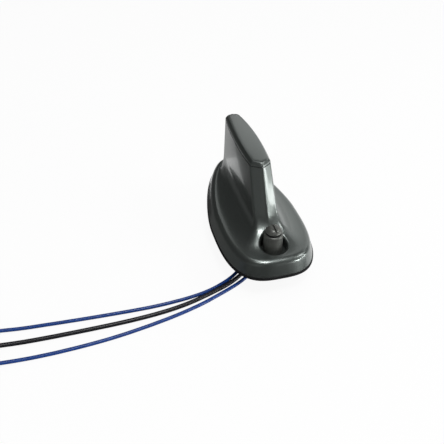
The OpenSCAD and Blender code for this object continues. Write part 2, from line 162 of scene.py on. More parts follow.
def addBlock(low, high):
    # a block from its two corners, in millimetres
    clearSelection()
    middle = [(a + b) / 2 * mm for a, b in zip(low, high)]
    bpy.ops.mesh.primitive_cube_add(size=1, location=middle)
    block = bpy.context.object
    block.scale = [(b - a) * mm for a, b in zip(low, high)]
    makeActive(block)
    bpy.ops.object.transform_apply(location=True, rotation=False, scale=True)
    return block


# the three routes, with heights above the floor, in millimetres
leadRoutes = {
    "blueA": [
        (-4.4, -17.5, 14), (-4.4, -17.5, 10.5), (-5.2, -18.5, 6.8), (-7.2, -21, 3.4),
        (-10.4, -25.2, 1.5), (-14.4, -30.8, 1.25), (-19, -36.6, 1.25), (-24.6, -42, 1.25),
        (-31, -46.6, 1.25), (-39, -50.8, 1.25), (-49, -54.6, 1.25), (-61, -57.2, 1.25),
        (-74, -58.7, 1.25), (-87, -59.5, 1.25), (-99, -59.6, 1.25), (-111, -59.4, 1.25),
        (-126, -59, 1.25), (-142, -58.4, 1.25), (-159, -57.6, 1.25), (-174, -57, 1.5),
        (-187, -56.4, 2.4), (-198, -56.1, 3.5), (-207, -56, 4.2), (-214, -56, 4.3)],
    "black": [
        (0, -17.5, 14), (0, -17.5, 10.5), (-0.8, -18.6, 6.9), (-3.2, -21.6, 3.6),
        (-6.6, -26.6, 1.8), (-10.6, -32.6, 1.5), (-15.4, -38.6, 1.5), (-21, -44, 1.5),
        (-27.4, -48.6, 1.5), (-35, -52.6, 1.5), (-44, -56.1, 1.5), (-53, -59.3, 1.5),
        (-63, -62.4, 1.5), (-74, -64.9, 1.5), (-86, -66.7, 1.5), (-99, -67.9, 1.5),
        (-112, -68.6, 1.5), (-128, -69, 1.5), (-144, -69.2, 1.5), (-160, -69.2, 1.5),
        (-175, -69.1, 1.8), (-188, -69, 2.7), (-199, -69, 3.7), (-207, -69, 4.2), (-214, -69, 4.3)],
    "blueB": [
        (4.4, -17.5, 14), (4.4, -17.5, 10.5), (3.6, -18.8, 6.8), (1, -22.6, 3.4),
        (-2.6, -28.2, 1.5), (-6.8, -35, 1.25), (-12, -41.8, 1.25), (-18, -47.4, 1.25),
        (-25, -52, 1.25), (-33.4, -56.2, 1.25), (-43, -60.4, 1.25), (-53, -64.5, 1.25),
        (-62, -67.6, 1.25), (-74, -71.1, 1.25), (-88, -74.4, 1.25), (-101, -77, 1.25),
        (-114, -79.2, 1.25), (-129, -81, 1.25), (-145, -82.2, 1.25), (-160, -82.8, 1.25),
        (-175, -82.9, 1.5), (-188, -82.9, 2.4), (-199, -82.8, 3.5), (-207, -82.8, 4.2),
        (-214, -82.8, 4.3)],
}
leadMakes = {
    "blueA": {"piece": "leadBlueA", "node": "lead_blue_a", "tail": "a", "diameter": 2.5},
    "black": {"piece": "leadBlack", "node": "lead_black", "tail": "b", "diameter": 3.0},
    "blueB": {"piece": "leadBlueB", "node": "lead_blue_b", "tail": "c", "diameter": 2.5},
}


def makeLead(key):
    make = leadMakes[key]
    points = [Vector((x, y, z)) * mm + Vector((0, 0, floorHeight)) for x, y, z in leadRoutes[key]]
    curve = bpy.data.curves.new(make["piece"], "CURVE")
    curve.dimensions = "3D"
    curve.resolution_u = 8
    curve.bevel_depth = make["diameter"] / 2 * mm
    curve.bevel_resolution = 5
    curve.use_fill_caps = True
    spline = curve.splines.new("BEZIER")
    spline.bezier_points.add(len(points) - 1)
    for knot, place in zip(spline.bezier_points, points):
        knot.co = place
        knot.handle_left_type = knot.handle_right_type = "AUTO"
    lead = bpy.data.objects.new(make["piece"], curve)
    bpy.context.scene.collection.objects.link(lead)
    bpy.context.view_layer.update()
    knots, path = spline.bezier_points, []
    for here, there in zip(knots, knots[1:]):
        path += interpolate_bezier(here.co, here.handle_right, there.handle_left, there.co, 13)[:-1]
    path = [place.copy() for place in path] + [knots[-1].co.copy()]
    length = sum((b - a).length for a, b in zip(path, path[1:]))
    makeActive(lead)
    bpy.ops.object.convert(target="MESH")
    lead = bpy.context.object
    startEdit(lead)
    bpy.ops.mesh.select_all(action="SELECT")
    bpy.ops.mesh.remove_doubles(threshold=seam)
    bpy.ops.mesh.normals_make_consistent(inside=False)
    endEdit()
    smooth(lead, 60)
    print(make["piece"], "length", round(length * 1000, 1), "mm")
    return lead, path, length


leads = {key: makeLead(key) for key in leadRoutes}
print("leads made")

# the same outline and profile as the CAD, taken in finer steps
hull = {
    "baseHalf": 33.8, "baseMid": -9, "baseBack": 60, "baseFore": 83.8,
    "backPower": 3.1, "foreEase": 0.5, "foreRound": 2.12,
    "deckZ": 13.6, "edgeRadius": 5, "skirtSlope": 18, "wall": 2.2,
    "deckRise": 0.6, "creaseZ": 23, "creaseReach": 0.62,
    "footHalf": 9.4, "footTip": 7.2, "footBack": -37, "footFore": 61,
    "topHalf": 7.8, "tipHalf": 6.3, "topBack": -18.2, "topFore": 60,
    "endBow": 0.5, "finBow": 1.8, "finBowFoot": 0.65, "rimZ": 57.6,
    "noseFoot": 0.9, "noseTop": 4.2, "noseSoft": 0.16, "noseSpan": 0.8527,
    "noseSteep": 1.16, "noseWall": 1.25,
    "cornerFoot": 3.4, "cornerTop": 2.4, "cornerWall": 0.9, "cornerLeast": 0.3,
    "endRoundFoot": 5.5, "endRoundTop": 5, "endRoundLeast": 0.4,
    "capHeight": 3.2, "capArch": 1.8, "shutGap": 0.45, "flarePower": 2.2,
    "sealThick": 2.6, "sealLip": 0.5, "plateThick": 2,
    "socketY": -47.6, "pocketY": -49.8, "pocketRadius": 9.5, "pocketFloor": 8, "pocketLip": 1.4,
    "screws": ((24.2, -40), (-24.2, -40), (24.2, 12), (-24.2, 12), (0, 62)),
    "bossRadius": 3.2, "screwBore": 1.5, "screwTop": 11, "tailBore": 2.2, "pocketWall": 2, "pocketUnder": 1.4,
    "skirtRows": 8, "edgeRows": 14, "deckRows": 72, "creaseRows": 18, "wallRows": 24, "noseSteps": 30,
}
slope = math.radians(hull["skirtSlope"])
shellLow = hull["deckZ"] - hull["edgeRadius"] * (1 - math.sin(slope))
deckIn = (shellLow - hull["sealThick"]) * math.tan(slope) + hull["edgeRadius"] * math.cos(slope)


# where the outline's stretches meet, as angles round the base
noseEdge, flankFrom, flankTo, endFlat, endMiddle = -62, -42, 60, 80, 90


def mix(low, high, share):
    return low + (high - low) * share


def makeStations():
    # angles from the socket end to the plain end by the right side, then back by the left side
    widest = math.cos(math.radians(noseEdge)) ** (2 / hull["backPower"])
    half = [-math.degrees(math.acos((widest * k / hull["noseSteps"]) ** (hull["backPower"] / 2)))
            for k in range(hull["noseSteps"])]
    half += [*range(noseEdge, 0, 2), -1, -0.3, *range(2, endMiddle + 1, 2)]
    return [(a, 1) for a in half] + [(a, -1) for a in reversed(half[1:-1])]


def baseAt(station, inward):
    angle, side = math.radians(station[0]), station[1]
    rise = abs(math.sin(angle))
    if station[0] > 0:
        width = max(0, math.cos(angle)) ** (2 / hull["foreRound"])
        y = hull["baseMid"] + (hull["baseFore"] - inward) * rise * mix(rise, 1, hull["foreEase"])
    else:
        width = max(0, math.cos(angle)) ** (2 / hull["backPower"])
        y = hull["baseMid"] - (hull["baseBack"] - inward) * rise ** (2 / hull["backPower"])
    return Vector((side * (hull["baseHalf"] - inward) * width, y))


finLow = baseAt((flankFrom, 1), 0).y
finHigh = baseAt((flankTo, 1), 0).y


def oblongAt(station, back, fore, halfBack, halfFore, roundBack, roundFore, bow, nose):
    # the fin's outline comes to a soft edge at the sloping end and is rounded at the other
    angle, side = station
    along = (baseAt(station, 0).y - finLow) / (finHigh - finLow)
    turn = math.atan(hull["noseSteep"] * nose / (halfBack - roundBack / 2))
    edgeX = halfBack - roundBack + roundBack * math.sin(turn)
    roundY = back + nose + roundBack * math.cos(turn)
    if angle <= noseEdge:
        t = (angle + endMiddle) / (noseEdge + endMiddle)
        fall = math.hypot(t, hull["noseSoft"]) - hull["noseSoft"]
        return Vector((side * edgeX * t, back + nose * fall / hull["noseSpan"]))
    if angle < flankFrom:
        t = mix(turn, math.pi / 2, (angle - noseEdge) / (flankFrom - noseEdge))
        width = halfBack - roundBack + roundBack * math.sin(t)
        return Vector((side * width, roundY - roundBack * math.cos(t)))
    if angle <= flankTo:
        width = mix(halfBack, halfFore, along) + bow * 4 * along * (1 - along)
        return Vector((side * width, roundY + (fore - roundY - roundFore) * along))
    if angle < endFlat:
        t = math.pi / 2 * (angle - flankTo) / (endFlat - flankTo)
        return Vector((side * (halfFore - roundFore + roundFore * math.cos(t)),
                       fore - roundFore + roundFore * math.sin(t)))
    t = (endMiddle - angle) / (endMiddle - endFlat)
    return Vector((side * (halfFore - roundFore) * t, fore + hull["endBow"] * (1 - t * t)))


def finAt(station, z, inward=0):
    share = (z - hull["creaseZ"]) / (hull["rimZ"] - hull["creaseZ"])
    half = mix(hull["footHalf"], hull["topHalf"], share)
    corner = mix(hull["cornerFoot"], hull["cornerTop"], share)
    cornerIn = max(hull["cornerLeast"], corner - inward * hull["cornerWall"])
    endRound = max(hull["endRoundLeast"], mix(hull["endRoundFoot"], hull["endRoundTop"], share) - inward)
    nose = mix(hull["noseTop"], hull["noseFoot"], max(0, 1 - share) ** 3)
    place = oblongAt(station, mix(hull["footBack"], hull["topBack"], share) + inward * hull["noseWall"],
                     mix(hull["footFore"], hull["topFore"], share) - inward, half - inward,
                     mix(hull["footTip"], hull["tipHalf"], share) - inward, cornerIn, endRound,
                     hull["finBow"] * mix(hull["finBowFoot"], 1, share),
                     nose * (half - inward - cornerIn / 2) / (half - corner / 2))
    return Vector((place.x, place.y, z))


def skinAt(station, inset, share, z, inward=0):
    base, foot = baseAt(station, inward), finAt(station, hull["creaseZ"], inward).xy
    gap = (foot - base).length
    reach = inset + (gap - inset) * share if share > 0 else inset
    place = base + (foot - base) * (reach / gap)
    return Vector((place.x, place.y, z))


def flareZ(share, low, high):
    rise = hull["deckRise"]
    return low + rise * share + (high - low - rise) * share ** hull["flarePower"]


def flareAt(station, share):
    return skinAt(station, deckIn, share, flareZ(share, hull["deckZ"], hull["creaseZ"]))


def creaseAt(station, t, flareFrom, wallTo):
    # a soft fillet from the flare to the fin's side
    first, before = flareAt(station, flareFrom), flareAt(station, flareFrom - 0.01)
    corner = finAt(station, hull["creaseZ"])
    last = finAt(station, mix(hull["creaseZ"], hull["rimZ"], wallTo))
    firstHandle = first + (first - before).normalized() * (corner - first).length * hull["creaseReach"]
    lastHandle = last + (corner - last) * hull["creaseReach"]
    u = 1 - t
    return first * u ** 3 + firstHandle * 3 * u * u * t + lastHandle * 3 * u * t * t + last * t ** 3


def roundPocket(place):
    # the skin rolls down into the pocket round the mast socket
    reach = math.hypot(place.x, place.y - hull["pocketY"])
    lip = hull["pocketLip"]
    inside = (hull["pocketRadius"] + lip - reach) / lip
    if inside > 0 and place.z > shellLow:
        place.z -= lip * (1 - math.sqrt(max(0, 1 - min(1, inside) ** 2)))
    return place


def loft(name, rings):
    # a flat grid wrapped round the rings, with its seam merged and its ends filled
    count = len(rings[0])
    clearSelection()
    bpy.ops.mesh.primitive_grid_add(x_subdivisions=count, y_subdivisions=len(rings) - 1, size=1)
    piece = bpy.context.object
    places = []
    for ring in rings:
        for place in list(ring) + [ring[0]]:
            places += [place.x * mm, place.y * mm, place.z * mm]
    piece.data.vertices.foreach_set("co", places)
    piece.data.update()
    startEdit(piece)
    bpy.ops.mesh.select_all(action="SELECT")
    bpy.ops.mesh.remove_doubles(threshold=seam)
    bpy.ops.mesh.select_all(action="DESELECT")
    bpy.ops.mesh.select_mode(type="EDGE")
    bpy.ops.mesh.select_non_manifold(extend=False, use_wire=True, use_boundary=True,
                                     use_multi_face=False, use_non_contiguous=False, use_verts=False)
    bpy.ops.mesh.edge_face_add()
    bpy.ops.mesh.select_all(action="SELECT")
    bpy.ops.mesh.normals_make_consistent(inside=False)
    endEdit()
    piece.name = name
    return piece


stations = makeStations()


def outerRings():
    rings = []
    for k in range(hull["skirtRows"] + 1):
        z = mix(hull["sealThick"], shellLow, k / hull["skirtRows"])
        rings.append([skinAt(s, (z - hull["sealThick"]) * math.tan(slope), 0, z) for s in stations])
    for k in range(1, hull["edgeRows"] + 1):
        t = mix(slope, math.pi / 2, k / hull["edgeRows"])
        inset = deckIn - hull["edgeRadius"] * math.cos(t)
        z = hull["deckZ"] - hull["edgeRadius"] * (1 - math.sin(t))
        rings.append([skinAt(s, inset, 0, z) for s in stations])
    flareEnd, wallStart = 0.8, 0.13
    for k in range(1, hull["deckRows"] + 1):
        rings.append([flareAt(s, flareEnd * k / hull["deckRows"]) for s in stations])
    for k in range(1, hull["creaseRows"] + 1):
        rings.append([creaseAt(s, k / hull["creaseRows"], flareEnd, wallStart) for s in stations])
    for k in range(1, hull["wallRows"] + 1):
        z = mix(hull["creaseZ"], hull["rimZ"], mix(wallStart, 1, k / hull["wallRows"]))
        rings.append([finAt(s, z) for s in stations])
    return [[roundPocket(place) for place in ring] for ring in rings]


def innerRings():
    wall, curve = hull["wall"], hull["edgeRadius"] - hull["wall"]
    lean = (shellLow - hull["sealThick"]) * math.tan(slope)
    rings = [[skinAt(s, inset, 0, z, wall) for s in stations]
             for inset, z in ((0, hull["sealThick"] - 1), (0, hull["sealThick"]), (lean, shellLow))]
    for t in (mix(slope, math.pi / 2, 0.5), mix(slope, math.pi / 2, 0.75), math.pi / 2):
        inset = deckIn - wall - curve * math.cos(t)
        z = hull["deckZ"] - hull["edgeRadius"] + curve * math.sin(t)
        rings.append([skinAt(s, inset, 0, z, wall) for s in stations])
    for share in (0.3, 0.55, 0.75, 0.9, 1):
        z = flareZ(share, hull["deckZ"] - wall, hull["creaseZ"] - 3)
        rings.append([skinAt(s, deckIn - wall, share, z, wall) for s in stations])
    low, high = hull["creaseZ"], hull["rimZ"]
    for z in (mix(low, high, 0.18), mix(low, high, 0.5), high - 1, high + 1):
        rings.append([finAt(s, z, wall) for s in stations])
    return rings


def makeShell():
    shell = loft("aerialShell", outerRings())
    hollow = loft("hollow", innerRings())
    plateTop = hull["sealThick"] + hull["plateThick"]
    # the pocket's wall and the screws' bosses stay solid, and every cutter ends clear of the skin
    clear, above = 40, 34
    cutWith(hollow, addRod(hull["pocketRadius"] + hull["pocketWall"], plateTop + hull["pocketUnder"], clear,
                           0, hull["pocketY"]))
    for x, y in hull["screws"]:
        cutWith(hollow, addRod(hull["bossRadius"], plateTop, clear, x, y, 32))
    cutWith(shell, hollow)
    cutWith(shell, addRod(hull["pocketRadius"], hull["pocketFloor"], above, 0, hull["pocketY"], 128))
    cutWith(shell, addRod(hull["tailBore"], plateTop, hull["pocketFloor"] + 1, 0, hull["socketY"], 32))
    for x, y in hull["screws"]:
        cutWith(shell, addRod(hull["screwBore"], 0, hull["screwTop"], x, y, 24))
    smooth(shell, 40)
    return settle(shell, "aerialShell")


shell = makeShell()
print("shell made:", len(shell.data.polygons), "faces")


def softCorner(before, corner, after, reach, steps=8):
    # a rounded corner between two straight stretches of a profile
    before, corner, after = Vector(before), Vector(corner), Vector(after)
    start = corner + (before - corner).normalized() * reach
    end = corner + (after - corner).normalized() * reach
    return [tuple(start.lerp(corner, k / steps).lerp(corner.lerp(end, k / steps), k / steps))
            for k in range(steps + 1)]


capEdge = {
    "spigot": 2.4, "step": 0.8, "bevelDrop": 1.9, "bevelWide": 1.5,
    "crownDrop": 0.28, "crownWide": 4.4, "corner": 0.5, "noseSteep": 0.75,
}


def makeCap(make):
    # inset and height above the rim, from the spigot up and over the bevelled edge
    inside, step, high, gap = hull["wall"] + 0.3, make["step"], hull["capHeight"], hull["shutGap"]
    low, bevelLow = (0, gap), (0, high - make["bevelDrop"])
    bevelHigh, middle = (make["bevelWide"], high - make["crownDrop"]), (make["crownWide"], high)
    profile = [(inside, -make["spigot"]), (inside, 0), (step, 0), (step, gap)]
    profile += [(0.25, gap), (0.07, gap + 0.06), (0, gap + 0.25)]
    profile += softCorner(low, bevelLow, bevelHigh, make["corner"])
    profile += softCorner(bevelLow, bevelHigh, middle, make["corner"])
    profile += [(2.8, high - 0.13), middle]
    rings = []
    for inset, z in profile:
        arch = math.sqrt(max(0, z - gap) / (high - gap))
        ring = []
        for s in stations:
            place = finAt(s, hull["rimZ"] + z, inset)
            if z > gap:
                # the bevel is steeper across the sloping end
                share = max(0, min(1, (flankFrom - s[0]) / (flankFrom - noseEdge)))
                place.y -= make["noseSteep"] * inset * share
            k = (place.y - hull["topBack"]) / (hull["topFore"] - hull["topBack"])
            place.z += arch * hull["capArch"] * 4 * k * (1 - k)
            ring.append(place)
        rings.append(ring)
    # the top closes along its middle line
    rings.append([Vector((0, p.y, p.z)) for p in rings[-1]])
    cap = loft("aerialCap", rings)
    smooth(cap, 40)
    return settle(cap, "aerialCap")


cap = makeCap(capEdge)
print("cap made:", len(cap.data.polygons), "faces")


sealShape = {"groove": 0.6, "studHole": 14, "leadSlot": ((-10, -23, -1), (10, -7, 4))}


def makeGasket(make):
    # grooves run round the underside, and the outer edge is slightly rounded
    deep, lip, high = make["groove"], hull["sealLip"], hull["sealThick"]
    profile = [(7.4, 0), (7.1, deep), (6.3, deep), (6, 0), (4.4, 0), (4.1, deep), (3.3, deep), (3, 0),
               (0.4 - lip, 0), (0.1 - lip, 0.2), (-lip, 0.6), (-lip, high - 0.5), (0.1 - lip, high - 0.15),
               (0.4 - lip, high), (3, high)]
    rings = []
    for inset, z in profile:
        rings.append([Vector((p.x, p.y, z)) for p in (baseAt(s, inset) for s in stations)])
    gasket = loft("sealGasket", rings)
    cutWith(gasket, addRod(make["studHole"], -1, 4))
    cutWith(gasket, addBlock(*make["leadSlot"]))
    smooth(gasket, 30)
    return settle(gasket, "sealGasket")


gasket = makeGasket(sealShape)
print("gasket made:", len(gasket.data.polygons), "faces")

slotOf = {part["node"]: part["material_slot"] for part in frame["record"]["subparts"]}
dressed = []


def standFor(piece, node):
    # the finished piece takes the place and the finish of a node of the frame
    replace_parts(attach(piece, "root"), node)
    dressed.append((piece, slotOf[node]))
    return piece


standFor(shell, "outer_shell")
standFor(cap, "fin_cap")
standFor(gasket, "gasket")


def addWheel(profile, sides, y, name):
    # a profile of (radius, height) points spun round a vertical axis
    clearSelection()
    startRadius, startZ = profile[0]
    bpy.ops.mesh.primitive_circle_add(vertices=sides, radius=startRadius * mm,
                                      location=(0, y * mm, startZ * mm))
    wheel = bpy.context.object
    makeActive(wheel)
    bpy.ops.object.transform_apply(location=True, rotation=False, scale=False)
    startEdit(wheel, "EDGE")
    bpy.ops.mesh.select_all(action="SELECT")
    for (fromRadius, fromZ), (toRadius, toZ) in zip(profile, profile[1:]):
        bpy.ops.mesh.extrude_region_move(TRANSFORM_OT_translate={"value": (0, 0, (toZ - fromZ) * mm)})
        if toRadius != fromRadius:
            bpy.ops.transform.resize(value=(toRadius / fromRadius, toRadius / fromRadius, 1),
                                     center_override=(0, y * mm, toZ * mm))
    bpy.ops.mesh.select_all(action="DESELECT")
    bpy.ops.mesh.select_non_manifold(extend=False, use_wire=True, use_boundary=True,
                                     use_multi_face=False, use_non_contiguous=False, use_verts=False)
    bpy.ops.mesh.edge_face_add()
    bpy.ops.mesh.select_all(action="SELECT")
    bpy.ops.mesh.normals_make_consistent(inside=False)
    endEdit()
    wheel.name = name
    return wheel


mastSocket = {
    "barrelRadius": 6.7, "barrelTop": 23.4, "headRadius": 5.8, "headHeight": 3.6,
    "barrelBore": 4.0, "ringThick": 1.4, "ringBore": 2.6, "screwRadius": 2.3, "screwLong": 7,
    "slotWidth": 1.3, "slotDepth": 1.5, "sides": 96,
}


def makeSocket(make):
    y, top, radius, sides = hull["socketY"], make["barrelTop"], make["barrelRadius"], make["sides"]
    floor, bore = hull["pocketFloor"], make["barrelBore"]
    barrel = addWheel([(bore, floor), (radius, floor), (radius, top - 1.0), (radius - 0.08, top - 0.7),
                       (radius - 0.35, top - 0.35), (radius - 0.75, top - 0.1), (radius - 1.1, top),
                       (bore, top)], sides, y, "mastBarrel")
    smooth(barrel, 40)
    ringTop, out, bore = top + make["ringThick"], make["headRadius"], make["ringBore"]
    ring = addWheel([(bore, top), (out - 0.75, top), (out - 0.45, top + 0.15), (out - 0.3, top + 0.45),
                     (out - 0.3, ringTop - 0.45), (out - 0.45, ringTop - 0.15), (out - 0.75, ringTop),
                     (bore, ringTop)], sides, y, "socketRing")
    smooth(ring, 40)
    high, screw, low = ringTop + make["headHeight"], make["screwRadius"], ringTop - make["screwLong"]
    head = addWheel([(0.8, low), (screw, low), (screw, ringTop), (out - 0.3, ringTop),
                     (out - 0.08, ringTop + 0.1), (out, ringTop + 0.35), (out, ringTop + 0.8),
                     (out - 0.12, ringTop + 1.1), (out - 0.4, ringTop + 1.5), (out - 0.9, high - 1.4),
                     (out - 1.3, high - 0.95), (out - 1.9, high - 0.5), (out - 2.6, high - 0.2),
                     (out - 3.4, high - 0.05), (1.2, high)], sides, y, "socketHead")
    cutWith(head, addBlock((-make["slotWidth"] / 2, y - 8, high - make["slotDepth"]),
                           (make["slotWidth"] / 2, y + 8, high + 3)))
    smooth(head, 40)
    standFor(settle(barrel, "mastBarrel"), "socket_barrel")
    standFor(settle(ring, "socketRing"), "socket_ring")
    standFor(settle(head, "socketHead"), "socket_head")


makeSocket(mastSocket)
print("mast socket made")

clampStud = {
    "root": 3.35, "crest": 4.0, "pitch": 1.25, "threadLow": -11.4, "threadHigh": -0.4,
    "pilot": 3.1, "tip": -15, "tipRadius": 2.5, "flangeLow": 4.6, "flangeHigh": 6.1, "flange": 6.6,
    "sides": 48, "rowsPerTurn": 12,
}


def evenly(radius):
    # the same radius at every angle
    return lambda angle: radius


def circleAt(z, radiusOf, sides):
    # one ring round the upright axis, whose radius may change with the angle
    angles = [2 * math.pi * k / sides for k in range(sides)]
    return [Vector((radiusOf(a) * math.cos(a), radiusOf(a) * math.sin(a), z)) for a in angles]


def makeStud(make):
    low, high, pitch, sides = make["threadLow"], make["threadHigh"], make["pitch"], make["sides"]

    def thread(z):
        fade = min(1, (z - low) / pitch, (high - z) / pitch)

        def radius(angle):
            turn = (z / pitch - angle / (2 * math.pi)) % 1
            ridge = min(1, max(0, 1.3 * abs(2 * turn - 1) - 0.15))
            return mix(make["root"], make["crest"], ridge * fade)

        return radius

    tip, pilot, crest, flange = make["tip"], make["pilot"], make["crest"], make["flange"]
    plain = [(tip, make["tipRadius"]), (tip + 0.5, pilot), (low - 0.3, pilot)]
    rings = [circleAt(z, evenly(radius), sides) for z, radius in plain]
    count = round((high - low) / pitch * make["rowsPerTurn"])
    rings += [circleAt(z, thread(z), sides) for z in (mix(low, high, k / count) for k in range(count + 1))]
    under, over = make["flangeLow"], make["flangeHigh"]
    plain = [(high + 0.3, crest), (under, crest), (under, flange - 0.2), (under + 0.2, flange),
             (over - 0.2, flange), (over, flange - 0.2)]
    rings += [circleAt(z, evenly(radius), sides) for z, radius in plain]
    stud = loft("clampStud", rings)
    smooth(stud, 45)
    return standFor(settle(stud, "clampStud"), "clamp_stud")


makeStud(clampStud)

clampNut = {
    "corner": 7.5, "low": -11, "high": -7, "bore": 4.05, "boreBevel": 0.45, "bevel": 0.6, "face": 6.45,
    "sides": 72,
}


def makeNut(make):
    low, high, bore, soft = make["low"], make["high"], make["bore"], make["boreBevel"]

    def sixSided(limit):
        def radius(angle):
            turn = math.radians(math.degrees(angle) % 60 - 30)
            return min(make["corner"] * math.cos(math.radians(30)) / math.cos(turn), limit)
        return radius

    # the round bevel runs over the corners at thirty degrees
    steps = [make["bevel"] * k / 6 for k in range(7)]
    limits = [make["face"] + step * math.sqrt(3) for step in steps]
    rows = [(low + step, sixSided(limit)) for step, limit in zip(steps, limits)]
    rows += [(high - step, sixSided(limit)) for step, limit in zip(reversed(steps), reversed(limits))]
    for z, radius in ((high, bore + soft), (high - soft, bore), (low + soft, bore), (low, bore + soft)):
        rows.append((z, evenly(radius)))
    rows.append(rows[0])
    nut = loft("clampNut", [circleAt(z, radius, make["sides"]) for z, radius in rows])
    smooth(nut, 25)
    return standFor(settle(nut, "clampNut"), "clamp_nut")


makeNut(clampNut)

clawWasher = {
    "low": -7, "thick": 1.2, "outer": 9.4, "bore": 4.3, "clawFrom": 6.6, "clawTo": 8.6,
    "clawHalf": 1.6, "clawHeight": 1.4, "clawEdge": 0.6, "clawTaper": 0.5, "claws": 4, "soft": 0.2,
    "sides": 72,
}


def makeWasher(make):
    low, high = make["low"], make["low"] + make["thick"]
    outer, bore, soft = make["outer"], make["bore"], make["soft"]
    rows = [(low, outer - soft), (low + soft, outer), (high - soft, outer), (high, outer - soft),
            (high, bore + soft), (high - soft, bore), (low + soft, bore), (low, bore + soft)]
    rows.append(rows[0])
    washer = loft("clawWasher", [circleAt(z, evenly(radius), make["sides"]) for z, radius in rows])
    for k in range(make["claws"]):
        turn = Matrix.Rotation(math.radians(45) + 2 * math.pi * k / make["claws"], 3, "Z")
        # each claw leans outwards and narrows to its biting edge
        rings, end = [], make["clawTo"]
        for z, start, half in ((high - 0.3, make["clawFrom"], make["clawHalf"]),
                               (high + make["clawHeight"], end - make["clawEdge"],
                                make["clawHalf"] - make["clawTaper"])):
            corners = ((start, -half), (end, -half), (end, half), (start, half))
            rings.append([turn @ Vector((x, y, z)) for x, y in corners])
        cutWith(washer, loft("claw", rings), "UNION")
    smooth(washer, 30)
    return standFor(settle(washer, "clawWasher"), "claw_washer")


makeWasher(clawWasher)

leadGrommet = {
    "y": -17.5, "half": (7.9, 3.4), "low": -1, "high": 5.1, "bevel": 0.4,
    "lipHalf": (9.2, 4.7), "lipLow": 4.6, "lipHigh": 5.6, "lipBevel": 0.3, "sleeve": 1.6,
}


def makeGrommet(make):
    y, (halfX, halfY), (lipX, lipY) = make["y"], make["half"], make["lipHalf"]
    grommet = addBlock((-halfX, y - halfY, make["low"]), (halfX, y + halfY, make["high"]))
    applyModifier(grommet, "BEVEL", width=make["bevel"] * mm, segments=3)
    lip = addBlock((-lipX, y - lipY, make["lipLow"]), (lipX, y + lipY, make["lipHigh"]))
    applyModifier(lip, "BEVEL", width=make["lipBevel"] * mm, segments=2)
    cutWith(grommet, lip, "UNION")
    for key, leadMake in leadMakes.items():
        # a tapered sleeve eases each lead out of the rubber
        x, lead = leadRoutes[key][0][0], leadMake["diameter"] / 2
        low = make["low"] - make["sleeve"]
        rows = [(make["low"] + 0.6, lead + 0.9), (low, lead + 0.4),
                (low, lead + 0.05), (make["low"] + 0.1, lead + 0.05)]
        sleeve = loft("sleeve", [[place + Vector((x, y, 0)) for place in circleAt(z, evenly(radius), 32)]
                                 for z, radius in rows])
        cutWith(grommet, sleeve, "UNION")
    smooth(grommet, 30)
    return standFor(settle(grommet, "leadGrommet"), "lead_grommet")


makeGrommet(leadGrommet)
print("clamp and grommet made")

leadPlug = {
    "width": 8.6, "length": 18, "ferruleLong": 6, "ferruleRadius": 2.2, "mouth": 3.3, "mouthDeep": 14,
    "crimp": 0.22, "grooveDeep": 0.5, "grooveHalf": 1.3, "latchFrom": 3, "latchLong": 10, "latchHalf": 1.5,
    "latchHigh": 0.8, "shell": 2.8, "shellBore": 2.1, "pin": 0.5, "shellLong": 13, "sides": 48,
}


def turnAlong(name, profile, y, z):
    # a profile of (x, radius) points turned round the lead's own line
    angles = [2 * math.pi * k / leadPlug["sides"] for k in range(leadPlug["sides"])]
    piece = loft(name, [[Vector((x, y + r * math.cos(a), z + r * math.sin(a))) for a in angles]
                        for x, r in profile])
    smooth(piece, 35)
    return piece


def makePlug(make, key, tail):
    x, y, z = leadRoutes[key][-1]
    z += floorHeight / mm
    out, back = make["ferruleRadius"], x - make["ferruleLong"]
    # the ferrule is crimped in two bands
    band = out - make["crimp"]
    ferrule = turnAlong("ferrule", [(x, out - 0.35), (x - 0.25, out - 0.05), (x - 0.5, out), (x - 1.4, out),
                                    (x - 1.6, band), (x - 2.7, band), (x - 2.9, out), (x - 3.5, out),
                                    (x - 3.7, band), (x - 4.8, band), (x - 5, out), (back, out)], y, z)
    front, half = back - make["length"], make["width"] / 2
    housing = addBlock((front, y - half, z - half), (back, y + half, z + half))
    applyModifier(housing, "BEVEL", width=0.8 * mm, segments=4)
    mouth, deep, outside = make["mouth"], front + make["mouthDeep"], 0.01
    cutWith(housing, turnAlong("mouth", [(front - 1, mouth + 1.6), (front - outside, mouth + 0.6),
                                         (front + 0.6, mouth), (deep, mouth)], y, z))
    for side in (-1, 1):
        # a finger groove along each side
        edge, groove = y + side * half, make["grooveHalf"]
        inner = edge - side * make["grooveDeep"]
        cutWith(housing, addBlock((front + 4, min(edge, inner) - outside, z - groove),
                                  (back - 4, max(edge, inner) + outside, z + groove)))
    start, wide = front + make["latchFrom"], make["latchHalf"]
    latch = addBlock((start, y - wide, z + half - 0.4),
                     (start + make["latchLong"], y + wide, z + half + make["latchHigh"]))
    applyModifier(latch, "BEVEL", width=0.3 * mm, segments=2)
    cutWith(housing, latch, "UNION")
    smooth(housing, 30)
    shell, bore, pin, tip = make["shell"], make["shellBore"], make["pin"], deep - make["shellLong"]
    barrel = turnAlong("barrel", [(deep, 0.3), (deep, shell), (tip + 0.25, shell), (tip, shell - 0.2),
                                  (tip, bore + 0.15), (tip + 0.2, bore), (deep - 2, bore), (deep - 2, pin),
                                  (tip + 1.4, pin), (tip + 1, pin - 0.25)], y, z)
    upper = tail.upper()
    return [standFor(settle(ferrule, "ferrule" + upper), "ferrule_" + tail),
            standFor(settle(housing, "plugHousing" + upper), "plug_housing_" + tail),
            standFor(settle(barrel, "plugBarrel" + upper), "plug_barrel_" + tail)]


for key, (lead, path, length) in leads.items():
    make = leadMakes[key]
    standFor(lead, make["node"])
    makePlug(leadPlug, key, make["tail"])
print("plugs made")


